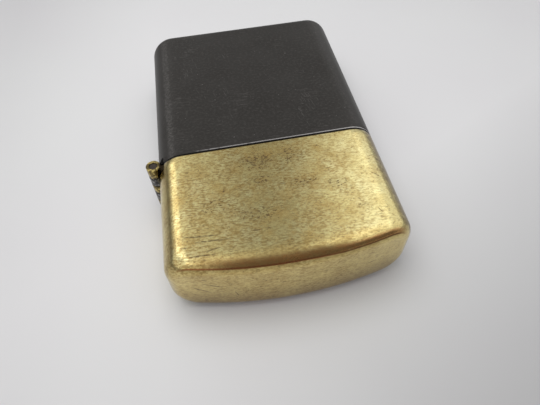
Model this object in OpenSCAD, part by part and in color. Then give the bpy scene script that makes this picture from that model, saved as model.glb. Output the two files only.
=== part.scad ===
// Flip-top petrol lighter: a two-part metal body with a hinged lid and a pull-out insert.
// Each piece is drawn standing upright, with the base at height zero, the hinge at -X and the
// front at -Y. lay_down() then puts it on its front face, with the lid towards -Y.

/* [Outer body] */
// Width of the case and lid, without the hinge
body_w = 36.2; // [34:0.1:42]
// Thickness from the front face to the back face
body_t = 12.8; // [12:0.1:15]
// Height of the case, from its base to the seam
case_h = 33.5; // [30:0.5:40]
// Height of the lid, from the seam to the top of its crown
lid_h = 22; // [21:0.5:28]
// Sheet thickness of the case and lid
wall = 0.7; // [0.5:0.05:0.9]
// Radius of the long upright edges
side_r = 4.4; // [3:0.1:5]
// Open gap at the seam
seam_gap = 0.15; // [0.1:0.01:0.3]
// Radius of the arched top, seen from the front
crown_r = 64; // [40:1:90]
// Radius of the edge all round the top
lid_edge_r = 2.2; // [1.4:0.1:2.4]
// Radius of the edge all round the base
base_edge_r = 2; // [1.4:0.1:2.4]
// Depth of the pressed panel in the base
panel_depth = 0.4; // [0.2:0.05:0.8]
// Width of the flat rim around that panel
panel_rim = 1.3; // [1:0.1:1.6]
// Corner radius of that panel
panel_r = 1.5; // [1:0.1:1.8]

/* [Hinge] */
// Number of knuckles, shared by the two leaves
knuckle_count = 5; // [3:2:7]
// Length of the whole barrel
hinge_len = 9.8; // [8:0.1:10.5]
// Outside radius of the barrel
knuckle_r = 1.15; // [1:0.05:1.4]
// Radius of the pin
pin_r = 0.65; // [0.5:0.05:0.7]
// Depth of the pin's ends inside the barrel
pin_recess = 0.15; // [0.05:0.05:0.4]
// Sheet thickness of both leaves
leaf_t = 0.5; // [0.4:0.05:0.6]
// Width of the welded part of each leaf
leaf_w = 6; // [5:0.1:6.4]
// Height of the welded part of each leaf
leaf_h = 8.5; // [6:0.5:12]
// How far the barrel is let into the line of the wall
hinge_sink = 0.65; // [0:0.05:0.8]

/* [Insert] */
// Sheet thickness of the insert's can
can_wall = 0.45; // [0.35:0.05:0.6]
// Height of the can above the seam
can_rise = 1.2; // [0.8:0.1:2]
// Sloping shoulder around the can's top
shoulder = 0.7; // [0.4:0.1:0.9]
// Step from the shoulder to the windscreen
screen_step = 0.2; // [0.1:0.05:0.4]
// Sheet thickness of the windscreen
screen_wall = 0.45; // [0.35:0.05:0.6]
// Corner radius of the windscreen
screen_r = 3.2; // [2.6:0.1:3.6]
// Free height over the windscreen inside the shut lid
flame_room = 7; // [6.5:0.5:9]
// Radius of the air holes
air_hole_r = 0.95; // [0.7:0.05:1.1]

/* [Striker] */
// Radius of the flint wheel
wheel_r = 3.85; // [3.4:0.05:4.1]
// Length of the flint wheel along its axle
wheel_t = 5.6; // [4.6:0.1:6]
// Length of each thumb rim of the wheel
wheel_rim_t = 1.2; // [0.8:0.1:1.6]
// Depth of the teeth in the thumb rims
tooth_depth = 0.4; // [0.2:0.05:0.5]
// Distance of the wheel from the can's side
wheel_inset = 1.35; // [1.2:0.05:2]
// Height of the wheel's axle over the can's top
axle_h = 5.3; // [5.1:0.1:6]
// How far the windscreen stops short of the axle
wheel_reach = 2.7; // [2.5:0.1:3.2]
// Radius of the ears around the axle
ear_r = 2.1; // [1.8:0.1:2.4]
// Radius of the axle
axle_r = 0.8; // [0.6:0.05:0.9]
// Radius of the axle's heads
axle_head_r = 1.35; // [1.1:0.05:1.6]
// Height of all rivet heads
head_h = 0.4; // [0.3:0.05:0.5]
// Radius of the flint
flint_r = 1.3; // [1.1:0.05:1.4]
// Length of the flint
flint_len = 5; // [3:0.5:6]
// Clearance of the flint in its tube
flint_fit = 0.2; // [0.1:0.05:0.3]
// Wall of the flint tube
tube_wall = 0.6; // [0.4:0.05:0.8]
// Height of the tube over the can's top
tube_rise = 0.5; // [0.2:0.1:0.8]
// Height of the plunger's head
plunger_head = 1.2; // [0.8:0.1:2]
// Length of the plunger's stem
plunger_stem = 3; // [2:0.5:5]
// Turns of the flint spring
spring_turns = 16; // [10:1:20]
// Wire diameter of the flint spring
spring_wire = 0.45; // [0.35:0.05:0.5]
// Height of the flint screw's head
screw_head_h = 1.3; // [1:0.1:1.6]
// Length of the flint screw's thread
screw_len = 4.6; // [3:0.2:6]
// Depth of the flint screw's thread
thread_depth = 0.3; // [0.2:0.05:0.4]
// Width and depth of the flint screw's slot
slot_w = 0.7; // [0.5:0.1:0.9]

/* [Cam] */
// Distance of the cam's rivet from the can's hinge side
cam_inset = 3.8; // [3.7:0.1:4.2]
// Height of the cam's rivet over the can's top
cam_axle_h = 2.9; // [2.7:0.1:3.4]
// Distance of the windscreen from the cam's rivet
cam_room = 3.7; // [3.4:0.1:4.2]
// Thickness of the cam lever
cam_t = 3.4; // [2.6:0.1:3.8]
// Radius of the cam's hub
cam_hub_r = 1.5; // [1.3:0.1:1.6]
// Reach of the cam's nose from its rivet
cam_reach = 4.3; // [3.6:0.1:4.4]
// Radius of the cam's nose
nose_r = 0.6; // [0.4:0.05:0.7]
// Radius of the cam's tail
tail_r = 0.5; // [0.4:0.05:0.6]
// Radius of the cam's ears
cam_ear_r = 1.75; // [1.5:0.05:1.9]
// Radius of the cam's rivet
cam_rivet_r = 0.7; // [0.5:0.05:0.8]
// Radius of the heads of the cam's rivet
cam_head_r = 1.15; // [1:0.05:1.4]
// Thickness of the leaf spring under the cam
cam_spring_t = 0.35; // [0.25:0.05:0.4]
// Reach of the leaf spring's tip past the cam's rivet
spring_tip = 0.6; // [0.3:0.1:1]
// Radius of the leaf spring's rivet
spring_rivet_r = 0.6; // [0.5:0.05:0.7]
// Radius of the heads of that rivet
spring_head_r = 1.1; // [0.9:0.05:1.3]
// Distance of that rivet from the windscreen's end
spring_inset = 2.8; // [2.4:0.1:3.4]

/* [Wick and packing] */
// Radius of the wick
wick_r = 1.5; // [1.2:0.05:1.6]
// Height of the wick over the can's top
wick_h = 9; // [7:0.5:10]
// Depth over which the wick leaves the middle of the can
wick_bend = 7; // [6:0.5:9]
// Thickness of the felt pad
felt_t = 2.2; // [1.5:0.1:3]
// Gap round the soft pieces
soft_gap = 0.3; // [0.2:0.05:0.5]

/* [Clearances] */
// Sliding clearance on each side of the insert
fit = 0.1; // [0.06:0.01:0.15]
// Radial clearance of pins and rivets in their bores
pin_fit = 0.04; // [0.02:0.01:0.08]
// Gap between parts that move past each other
run_gap = 0.15; // [0.1:0.01:0.25]
// Gap left between welded or stacked pieces
weld_gap = 0.02; // [0.01:0.01:0.05]

/* [Hidden] */
$fn = 48;
HULL_FN = 32;
CROWN_STEPS = 12;
CORNER_STEPS = 4;
SPRING_RINGS = 8;
WICK_RINGS = 26;
BALL_ROWS = 3;

// Heights along the standing lighter
total_h = case_h + lid_h;
case_top = case_h - seam_gap / 2;
lid_foot = case_h + seam_gap / 2;
floor_z = wall + panel_depth;

// Places of the hinge
hinge_x = -(body_w / 2 + knuckle_r - hinge_sink);
knuckle_pitch = hinge_len / knuckle_count;
knuckle_len = knuckle_pitch - run_gap;
strap_gap = (seam_gap + fit) / 2;
barrel_room = knuckle_r + run_gap;
spine_w = hinge_len - run_gap;
leaf_inset = wall + 2 * weld_gap;
leaf_x = -(body_w / 2 - leaf_inset);

// The insert's can fills the case, beside the welded hinge leaf and over the rounded base
can_left = leaf_x + leaf_t + fit;
can_right = body_w / 2 - wall - fit;
can_w = can_right - can_left;
can_x = (can_left + can_right) / 2;
can_t = body_t - 2 * wall - 2 * fit;
can_r = side_r - wall - fit;
can_foot = floor_z + base_edge_r - wall + fit;
can_top = case_h + can_rise;
deck_z = can_top - can_wall;

// Striker places
wheel_x = can_right - wheel_r - wheel_inset;
axle_z = can_top + axle_h;
tube_r = flint_r + flint_fit + tube_wall;
tube_top = can_top + tube_rise;
screw_z = can_foot + soft_gap;
tube_foot = screw_z + screw_head_h + weld_gap;
flint_top = axle_z - wheel_r - run_gap;
plunger_top = flint_top - flint_len - weld_gap;
spring_foot = screw_z + screw_head_h + screw_len + soft_gap;
spring_top = plunger_top - plunger_head - soft_gap / 2;
spring_r = flint_r - run_gap - spring_wire / 2;

// Cam places
cam_x = can_left + cam_inset;
cam_z = can_top + cam_axle_h;

// Windscreen places
screen_left = cam_x + cam_room;
screen_right = wheel_x - wheel_reach;
screen_w = screen_right - screen_left;
screen_x = (screen_left + screen_right) / 2;
screen_t = can_t - 2 * (shoulder + screen_step);
screen_h = lid_h - wall - can_rise - flame_room;
wheel_slot = wheel_t / 2 + run_gap + fit;
cam_slot = cam_t / 2 + run_gap + fit / 2;
spring_rivet_x = screen_left + spring_inset;

// Wick and packing places
felt_z = can_foot + soft_gap;
room_foot = felt_z + felt_t + soft_gap;
room_left = can_left + can_wall;
room_right = wheel_x - tube_r;
ball_pitch = (deck_z - room_foot) / BALL_ROWS;
ball_r = min(can_t / 2 - can_wall - soft_gap, (room_right - room_left - 2 * wick_r - 5 * soft_gap) / 4,
    (ball_pitch - soft_gap) / 2);
ball_left = room_left + soft_gap + ball_r;
ball_right = room_right - soft_gap - ball_r;
wick_low_x = (ball_left + ball_right) / 2;
wick_wave = (ball_right - ball_left) / 2 - ball_r - wick_r - soft_gap;
wick_foot = room_foot + soft_gap;

// Paths of the wound spring and the wick
spring_path = [for (i = [0 : spring_turns * SPRING_RINGS])
    [spring_r * cos(i * 360 / SPRING_RINGS), spring_r * sin(i * 360 / SPRING_RINGS),
     spring_wire + (spring_top - spring_foot - 2 * spring_wire) * i / (spring_turns * SPRING_RINGS)]];
wick_path = [for (i = [0 : WICK_RINGS])
    let (z = can_top + wick_h + (wick_foot - can_top - wick_h) * i / WICK_RINGS,
         below = deck_z - wick_r - z, share = ease(below / wick_bend))
    [screen_x + (wick_low_x - screen_x) * share + wick_wave * share * sin(below * 180 / ball_pitch), 0, z]];
echo(least_gap_of_flint_spring = least_gap(spring_path, spring_wire, SPRING_RINGS / 2 + 1));

// Smooth step from 0 to 1
function ease(t) = let (u = max(0, min(1, t))) u * u * (3 - 2 * u);

// Least gap between a wound wire and itself, measured between points more than half a turn apart
function least_gap(points, wire, apart) =
    min([for (i = [0 : len(points) - 1], j = [i + apart : 1 : len(points) - 1]) norm(points[i] - points[j])]) - wire;

// Height of the centre line of the lid's rounded top edge at one place across the width
function arch_z(x, edge) = total_h - crown_r + sqrt(pow(crown_r - edge, 2) - x * x);

// Lays a standing piece on its front face, centred over its footprint
module lay_down() {
    translate([0, total_h / 2, body_t / 2]) rotate([90, 0, 0]) children();
}

// Rectangle with round corners
module rounded_rect(w, t, r) {
    square([w - 2 * r, t], center = true);
    square([w, t - 2 * r], center = true);
    for (sx = [-1, 1], sy = [-1, 1])
        translate([sx * (w / 2 - r), sy * (t / 2 - r)]) circle(r);
}

// Plan of the body, shrunk all round by an inset
module body_plan(inset) {
    rounded_rect(body_w - 2 * inset, body_t - 2 * inset, side_r - inset);
}

// Outline in the front view, drawn in X and Z, given a thickness in Y
module front_extrude(t) {
    rotate([90, 0, 0]) linear_extrude(t, center = true) children();
}

// Round bar along Y, centred on the middle plane
module cross_bar(r, len) {
    rotate([90, 0, 0]) cylinder(r = r, h = len, center = true);
}

// Ball whose poles and equator lie exactly on its radius
module ball(r) {
    rotate_extrude($fn = HULL_FN)
        polygon([for (i = [0 : HULL_FN / 2]) r * [sin(i * 360 / HULL_FN), -cos(i * 360 / HULL_FN)]]);
}

// Four short posts that give the body its plan at one height
module plan_posts(inset, z) {
    for (sx = [-1, 1], sy = [-1, 1])
        translate([sx * (body_w / 2 - side_r), sy * (body_t / 2 - side_r), z])
            cylinder(r = side_r - inset, h = 0.01, $fn = HULL_FN);
}

// Balls along the rounded edge of a closed end: round its corners and, on the arched lid, across its width
module end_edge(edge, inset, arched) {
    for (sx = [-1, 1], sy = [-1, 1], i = [0 : CORNER_STEPS]) {
        a = 90 * i / CORNER_STEPS;
        x = sx * (body_w / 2 - side_r + (side_r - edge) * cos(a));
        translate([x, sy * (body_t / 2 - side_r + (side_r - edge) * sin(a)), arched ? arch_z(x, edge) : edge])
            ball(edge - inset);
    }
    if (arched)
        for (sy = [-1, 1], i = [1 : CROWN_STEPS - 1]) {
            x = (2 * i / CROWN_STEPS - 1) * (body_w / 2 - side_r);
            translate([x, sy * (body_t / 2 - edge), arch_z(x, edge)]) ball(edge - inset);
        }
}

// Filled form of the lid from a given foot, shrunk all round by an inset
module lid_form(inset, foot) {
    hull() {
        plan_posts(inset, foot);
        end_edge(lid_edge_r, inset, true);
    }
}

// Filled form of the case up to a given top, shrunk all round by an inset and raised at its floor
module case_form(inset, top, raise) {
    hull() {
        plan_posts(inset, top - 0.01);
        translate([0, 0, raise]) end_edge(base_edge_r, inset, false);
    }
}

// Notch in the hinge-side wall that gives the barrel room and lets both leaves through
module hinge_notch() {
    translate([-body_w / 2 - 1, -hinge_len / 2 - run_gap, case_h - barrel_room])
        cube([1 + side_r, hinge_len + 2 * run_gap, 2 * barrel_room]);
}

// Joins two circles by their outer tangents, as a lever's outline
module lever_arm(p, r1, q, r2) {
    d = q - p;
    along = atan2(d[1], d[0]);
    open = acos((r1 - r2) / norm(d));
    function on(c, r, a) = c + r * [cos(a), sin(a)];
    translate(p) circle(r1);
    translate(q) circle(r2);
    polygon([on(p, r1, along + open), on(p, r1, along - open),
             on(q, r2, along - open), on(q, r2, along + open)]);
}

// Rivet along Y with a low head at each end
module rivet(r, grip, head_r) {
    g = grip / 2;
    rotate([90, 0, 0]) rotate_extrude()
        polygon([[0, -g - head_h], [head_r * 0.7, -g - head_h], [head_r, -g - head_h / 2], [head_r, -g], [r, -g],
                 [r, g], [head_r, g], [head_r, g + head_h / 2], [head_r * 0.7, g + head_h], [0, g + head_h]]);
}

// Outline of a wheel with pointed teeth
module toothed_disc(r, depth, teeth) {
    polygon([for (i = [0 : 2 * teeth - 1])
        (i % 2 == 0 ? r : r - depth) * [cos(i * 180 / teeth), sin(i * 180 / teeth)]]);
}

// Tube swept along a list of points, with its first side towards the cross product with up
module tube_along(points, r, sides, up) {
    n = len(points);
    function tangent(i) = let (d = points[min(i + 1, n - 1)] - points[max(i - 1, 0)]) d / norm(d);
    function across(i) = let (c = cross(tangent(i), up)) c / norm(c);
    function ring(i) = let (t = tangent(i), a = across(i), b = cross(t, a))
        [for (k = [0 : sides - 1]) points[i] + r * (cos(k * 360 / sides) * a + sin(k * 360 / sides) * b)];
    verts = [for (i = [0 : n - 1]) each ring(i)];
    walls = [for (i = [0 : n - 2], k = [0 : sides - 1]) let (a = i * sides + k, b = i * sides + (k + 1) % sides)
        each [[a, a + sides, b], [b, a + sides, b + sides]]];
    caps = [for (k = [1 : sides - 2]) each [[0, k, k + 1],
        [(n - 1) * sides, (n - 1) * sides + k + 1, (n - 1) * sides + k]]];
    polyhedron(verts, concat(walls, caps));
}

// Outer body
module case_shell() {
    rim = base_edge_r + panel_rim;
    color([0.17, 0.165, 0.16]) difference() {
        case_form(0, case_top, 0);
        case_form(wall, case_top + 1, panel_depth);
        hinge_notch();
        translate([0, 0, -1]) linear_extrude(1 + panel_depth)
            rounded_rect(body_w - 2 * rim, body_t - 2 * rim, panel_r);
    }
}

module lid_shell() {
    color([0.72, 0.6, 0.3]) difference() {
        lid_form(0, lid_foot);
        lid_form(wall, lid_foot - 1);
        hinge_notch();
    }
}

// Plan of the welded part of a leaf, which follows the inside of the wall
module leaf_plan() {
    intersection() {
        difference() {
            body_plan(leaf_inset);
            body_plan(leaf_inset + leaf_t);
        }
        translate([-body_w, -leaf_w / 2]) square([body_w, leaf_w]);
    }
}

// One hinge leaf: a welded plate, a spine behind the barrel and its share of the knuckles.
// side is 1 for the lid's leaf above the seam and -1 for the case's leaf below it.
module hinge_leaf(side, first) {
    inner_x = leaf_x + leaf_t - hinge_x;
    translate([hinge_x, 0, case_h]) mirror([0, 0, side < 0 ? 1 : 0]) difference() {
        union() {
            difference() {
                union() {
                    translate([-hinge_x, 0, strap_gap]) linear_extrude(leaf_h) leaf_plan();
                    translate([barrel_room, -spine_w / 2, strap_gap])
                        cube([inner_x - barrel_room, spine_w, knuckle_r - strap_gap]);
                }
                cross_bar(barrel_room, hinge_len + 1);
            }
            for (i = [first : 2 : knuckle_count - 1])
                translate([0, (i + 0.5) * knuckle_pitch - hinge_len / 2, 0]) {
                    cross_bar(knuckle_r, knuckle_len);
                    translate([0, -knuckle_len / 2, strap_gap]) cube([inner_x, knuckle_len, leaf_t]);
                }
        }
        cross_bar(pin_r + pin_fit, hinge_len + 1);
    }
}

module case_hinge_leaf() {
    color([0.22, 0.21, 0.2]) hinge_leaf(-1, 1);
}

module lid_hinge_leaf() {
    color([0.66, 0.54, 0.27]) hinge_leaf(1, 0);
}

module hinge_pin() {
    color([0.3, 0.27, 0.22]) translate([hinge_x, 0, case_h]) cross_bar(pin_r, hinge_len - 2 * pin_recess);
}

// Insert
module can_solid(inset, foot) {
    top = can_top - inset;
    slope = shoulder - inset / 2;
    translate([can_x, 0, foot]) linear_extrude(top - slope - foot)
        rounded_rect(can_w - 2 * inset, can_t - 2 * inset, can_r - inset);
    translate([can_x, 0, top - slope]) hull() {
        for (step = [0, slope])
            translate([0, 0, step == 0 ? 0 : step - 0.01]) linear_extrude(0.01, $fn = HULL_FN)
                rounded_rect(can_w - 2 * inset - 2 * step, can_t - 2 * inset - 2 * step, can_r - inset - step / 2);
    }
}

module insert_can() {
    color([0.74, 0.74, 0.73]) difference() {
        can_solid(0, can_foot);
        can_solid(can_wall, can_foot - 1);
        translate([wheel_x, 0, deck_z - 1]) cylinder(r = tube_r + pin_fit, h = 3);
        translate([screen_x, 0, deck_z - 1]) cylinder(r = wick_r + run_gap, h = 3);
        translate([spring_rivet_x, 0, deck_z - 1]) cylinder(r = spring_rivet_r + pin_fit, h = 3);
    }
}

// Side view of an ear that carries a rivet, from the windscreen's end to its round tip
module screen_ear(x_from, x_pivot, z_pivot, r, rise) {
    dir = sign(x_pivot - x_from);
    translate([x_pivot, z_pivot]) circle(r);
    polygon([[x_from, can_top], [x_pivot + dir * r, can_top], [x_pivot + dir * r, z_pivot],
             [x_pivot, z_pivot + r], [x_from, can_top + rise]]);
}

module windscreen() {
    color([0.76, 0.76, 0.75]) difference() {
        union() {
            translate([screen_x, 0, can_top]) linear_extrude(screen_h) difference() {
                rounded_rect(screen_w, screen_t, screen_r);
                rounded_rect(screen_w - 2 * screen_wall, screen_t - 2 * screen_wall, screen_r - screen_wall);
            }
            for (s = [-1, 1]) {
                translate([0, s * (wheel_slot + screen_wall / 2), 0]) front_extrude(screen_wall)
                    screen_ear(screen_right - 1.5 * screen_wall, wheel_x, axle_z, ear_r, axle_h + 1.5 * ear_r);
                translate([0, s * (cam_slot + screen_wall / 2), 0]) front_extrude(screen_wall)
                    screen_ear(screen_left + screen_wall, cam_x, cam_z, cam_ear_r, cam_axle_h + 1.5 * cam_ear_r);
            }
        }
        translate([screen_right - screen_r, -wheel_slot, can_top - 1])
            cube([screen_r + 1, 2 * wheel_slot, 1 + axle_h + wheel_r + 3 * run_gap]);
        translate([screen_left - 1, -cam_slot, can_top - 1])
            cube([screen_r + 1, 2 * cam_slot, 1 + cam_axle_h + 2 * cam_hub_r]);
        translate([wheel_x, 0, axle_z]) cross_bar(axle_r + pin_fit, body_t);
        translate([cam_x, 0, cam_z]) cross_bar(cam_rivet_r + pin_fit, body_t);
        for (row = [0 : 2], col = [0 : 2 - row % 2])
            translate([screen_x + (col - 1 + (row % 2) / 2) * screen_w / 4, 0, can_top + (row + 1) * screen_h / 4])
                cross_bar(air_hole_r, body_t);
    }
}

// Cam that snaps the lid open and shut, with its leaf spring
module cam_lever() {
    tail_reach = cam_axle_h - cam_spring_t - tail_r - run_gap;
    color([0.62, 0.62, 0.62]) translate([cam_x, 0, cam_z]) difference() {
        front_extrude(cam_t) {
            lever_arm([0, 0], cam_hub_r, cam_reach * [-sqrt(0.5), sqrt(0.5)], nose_r);
            lever_arm([0, 0], cam_hub_r * 0.8, tail_reach * [0.75, -0.95], tail_r);
        }
        cross_bar(cam_rivet_r + pin_fit, cam_t + 1);
    }
}

module cam_rivet() {
    color("silver") translate([cam_x, 0, cam_z])
        rivet(cam_rivet_r, 2 * (cam_slot + screen_wall + weld_gap), cam_head_r);
}

module cam_spring() {
    tip_x = cam_x - spring_tip;
    bend_x = cam_x + cam_hub_r * 0.6;
    rise = (cam_axle_h - cam_hub_r - cam_spring_t - run_gap) / 2;
    root_x = spring_rivet_x + spring_head_r * 1.5;
    color([0.5, 0.52, 0.55]) difference() {
        translate([0, 0, can_top]) front_extrude(2 * (cam_slot - run_gap - fit))
            polygon([[root_x, weld_gap], [bend_x, weld_gap], [tip_x, rise],
                     [tip_x, rise + cam_spring_t], [bend_x, cam_spring_t], [root_x, cam_spring_t]]);
        translate([spring_rivet_x, 0, can_top - 1]) cylinder(r = spring_rivet_r + pin_fit, h = 3);
    }
}

module spring_rivet() {
    foot = deck_z - weld_gap;
    seat = can_top + cam_spring_t + weld_gap;
    r = spring_head_r;
    color("silver") translate([spring_rivet_x, 0, 0]) rotate_extrude()
        polygon([[0, foot - head_h], [r, foot - head_h], [r, foot], [spring_rivet_r, foot], [spring_rivet_r, seat],
                 [r, seat], [r, seat + head_h / 2], [r * 0.7, seat + head_h], [0, seat + head_h]]);
}

// Flint wheel with two thumb rims and a fine file-cut band between them
module flint_wheel() {
    color([0.36, 0.36, 0.36]) translate([wheel_x, 0, axle_z]) difference() {
        union() {
            front_extrude(wheel_t - 2 * wheel_rim_t)
                toothed_disc(wheel_r - tooth_depth / 3, tooth_depth * 0.75, 44);
            for (s = [-1, 1])
                translate([0, s * (wheel_t - wheel_rim_t) / 2, 0])
                    front_extrude(wheel_rim_t) toothed_disc(wheel_r, tooth_depth, 30);
        }
        cross_bar(axle_r + 1.5 * pin_fit, wheel_t + 1);
    }
}

module wheel_rivet() {
    color("silver") translate([wheel_x, 0, axle_z])
        rivet(axle_r, 2 * (wheel_slot + screen_wall + weld_gap), axle_head_r);
}

// Flint train
module flint_tube() {
    color([0.7, 0.56, 0.28]) translate([wheel_x, 0, tube_foot]) difference() {
        cylinder(r = tube_r, h = tube_top - tube_foot);
        translate([0, 0, -1]) cylinder(r = tube_r - tube_wall, h = tube_top - tube_foot + 2);
    }
}

module flint() {
    color([0.3, 0.29, 0.28]) translate([wheel_x, 0, flint_top - flint_len]) cylinder(r = flint_r, h = flint_len);
}

module flint_plunger() {
    stem_r = spring_r - spring_wire / 2 - run_gap;
    foot = -plunger_head - plunger_stem;
    color([0.72, 0.58, 0.3]) translate([wheel_x, 0, plunger_top]) rotate_extrude()
        polygon([[0, 0], [flint_r, 0], [flint_r, -plunger_head], [stem_r, -plunger_head], [stem_r, foot], [0, foot]]);
}

module flint_spring() {
    color([0.55, 0.56, 0.58]) translate([wheel_x, 0, spring_foot])
        tube_along(spring_path, spring_wire / 2, 6, [0, 0, 1]);
}

module flint_screw() {
    ridges = 8;
    major_r = tube_r - tube_wall - pin_fit;
    minor_r = major_r - thread_depth;
    step = screw_len / ridges;
    color([0.68, 0.55, 0.28]) translate([wheel_x, 0, screw_z]) difference() {
        rotate_extrude() polygon(concat([[0, 0], [tube_r * 0.9, 0], [tube_r, tube_r * 0.1], [tube_r, screw_head_h]],
            [for (i = [0 : ridges - 1]) each [[minor_r, screw_head_h + i * step],
                                              [major_r, screw_head_h + (i + 0.5) * step]]],
            [[minor_r, screw_head_h + screw_len], [0, screw_head_h + screw_len]]));
        translate([-tube_r - 1, -slot_w / 2, -1]) cube([2 * tube_r + 2, slot_w, 1 + slot_w]);
    }
}

// Wick that runs down between the packing balls and leaves the place of one ball free under the deck
module wick() {
    color([0.9, 0.87, 0.78]) tube_along(wick_path, wick_r, 10, [0, 1, 0]);
}

module packing_balls() {
    color([0.93, 0.92, 0.9]) for (side = [0, 1], row = [0 : BALL_ROWS - 1 - side])
        translate([side == 0 ? ball_left : ball_right, 0, room_foot + (row + 0.5) * ball_pitch]) sphere(ball_r);
}

module felt_pad() {
    inset = can_wall + soft_gap / 2;
    color([0.85, 0.83, 0.78]) translate([0, 0, felt_z]) difference() {
        translate([can_x, 0, 0]) linear_extrude(felt_t)
            rounded_rect(can_w - 2 * inset, can_t - 2 * inset, can_r - inset);
        translate([wheel_x, 0, -1]) cylinder(r = tube_r + soft_gap, h = felt_t + 2);
    }
}

lay_down() case_shell();
lay_down() lid_shell();
lay_down() case_hinge_leaf();
lay_down() lid_hinge_leaf();
lay_down() hinge_pin();
lay_down() insert_can();
lay_down() windscreen();
lay_down() cam_lever();
lay_down() cam_rivet();
lay_down() cam_spring();
lay_down() spring_rivet();
lay_down() flint_wheel();
lay_down() wheel_rivet();
lay_down() flint_tube();
lay_down() flint();
lay_down() flint_plunger();
lay_down() flint_spring();
lay_down() flint_screw();
lay_down() wick();
lay_down() packing_balls();
lay_down() felt_pad();
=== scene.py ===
"""Looks of a flip-top petrol lighter that lies shut on its front face, on a pale floor."""
import math

import bmesh
import bpy
from mathutils import Matrix, Vector, noise


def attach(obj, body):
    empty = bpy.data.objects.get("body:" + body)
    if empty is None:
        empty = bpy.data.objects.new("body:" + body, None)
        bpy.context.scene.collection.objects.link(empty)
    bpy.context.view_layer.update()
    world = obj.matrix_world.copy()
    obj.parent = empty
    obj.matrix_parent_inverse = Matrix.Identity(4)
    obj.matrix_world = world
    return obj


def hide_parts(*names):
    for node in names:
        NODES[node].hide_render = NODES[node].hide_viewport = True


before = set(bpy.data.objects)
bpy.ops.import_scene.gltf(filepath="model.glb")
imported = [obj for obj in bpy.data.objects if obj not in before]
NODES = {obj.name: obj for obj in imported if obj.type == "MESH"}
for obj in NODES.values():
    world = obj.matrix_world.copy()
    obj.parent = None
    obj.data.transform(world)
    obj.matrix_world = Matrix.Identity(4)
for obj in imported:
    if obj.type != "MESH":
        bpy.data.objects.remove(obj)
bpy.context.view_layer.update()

# Sizes in millimetres, as in the part's source
MM = 0.001
BODY_W, BODY_T, CASE_H, LID_H = 36.2, 12.8, 33.5, 22.0
TOTAL_H = CASE_H + LID_H
WALL, SIDE_R, SEAM_GAP = 0.7, 4.4, 0.15
LID_RIM, CASE_RIM = CASE_H + SEAM_GAP / 2, CASE_H - SEAM_GAP / 2
SPINE = (BODY_W - BODY_T) / 2
CROWN_R, LID_EDGE_R, BASE_EDGE_R = 64.0, 2.2, 2.0
PANEL_DEPTH = 0.4
HINGE_LEN, KNUCKLE_R, RUN_GAP = 9.8, 1.15, 0.15
BARREL_ROOM = KNUCKLE_R + RUN_GAP
NOTCH_HALF = HINGE_LEN / 2 + RUN_GAP
RIM_ROUND, MERGE_GAP, HAIR = 0.07, 1e-4, 1e-6
CAN_TOP, DECK_Z, ROOM_FOOT = 34.7, 34.25, 5.3
WICK_R, WICK_H, WICK_BEND, SCREEN_X, WICK_RINGS = 1.5, 9.0, 7.0, 0.07, 26
BALL_R, BALL_LEFT, BALL_RIGHT, BALL_ROWS = 4.675, -11.335, 5.025, 3
BALL_PITCH = (DECK_Z - ROOM_FOOT) / BALL_ROWS
SOFT_GAP = 0.3
# Plies of the wick and lumps of the packing; counts are whole numbers
WICK_SIZES = {"Plies": 6, "Ply radius": 0.50, "Spread": 0.92, "Pitch": 9.0, "Fuzz": 0.08}
WICK_POINTS, PLY_SIDES = 110, 10
PACKING_SIZES = {"Radius": 4.62, "Crease": 1.2, "Fluff": 0.25}
LUMP_LEVELS = 6
# Mesh size, smoothing and nap of the felt
FELT_VOXEL, FELT_EASE, FELT_ROUNDS = 0.30, 0.5, 5
NAP_SCALE, NAP_LEVEL, NAP_DEPTH = 1.6, 0.6, 0.05

# The photograph's camera: angles in degrees, lengths in millimetres, focal length in pixels of its frame
CAMERA_AZIMUTH, CAMERA_ELEVATION, CAMERA_ROLL = -7.772, 53.904, -3.250
CAMERA_DISTANCE, CAMERA_TARGET, CAMERA_FOCAL = 72.046, (-1.011, -12.886, 6.0), 440.79
FRAME_W, SENSOR_W = 540, 36.0
CLIP_NEAR, CLIP_FAR = 0.002, 20.0

# Panes of the window overhead on the left: direction, cosine at its border, brightness
WINDOW_PANES = (((-0.63, 0.59, 0.51), 0.970, 1.1), ((-0.55, 0.34, 0.76), 0.970, 1.1),
                ((-0.42, 0.0, 0.91), 0.965, 1.0), ((-0.45, -0.53, 0.71), 0.984, 1.1))
PANE_CORE = 0.996
# Lamp and floor, in metres and watts
LAMP_SIZE, LAMP_POWER, LAMP_PLACE = 0.10, 0.080, (-0.020, 0.004, 0.13)
FLOOR_HALF = 2.0
# Colours of the room at the level at which each is reached
ROOM_PEAK, ROOM_TINT = 3.0, (3.0, 3.03, 3.06, 1)
CEILING_PEAK, CEILING_TINT = 2.0, (2.0, 2.0, 2.03, 1)
BLACK, BACKDROP_GREY = (0, 0, 0, 1), (0.66, 0.66, 0.67, 1)

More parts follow.
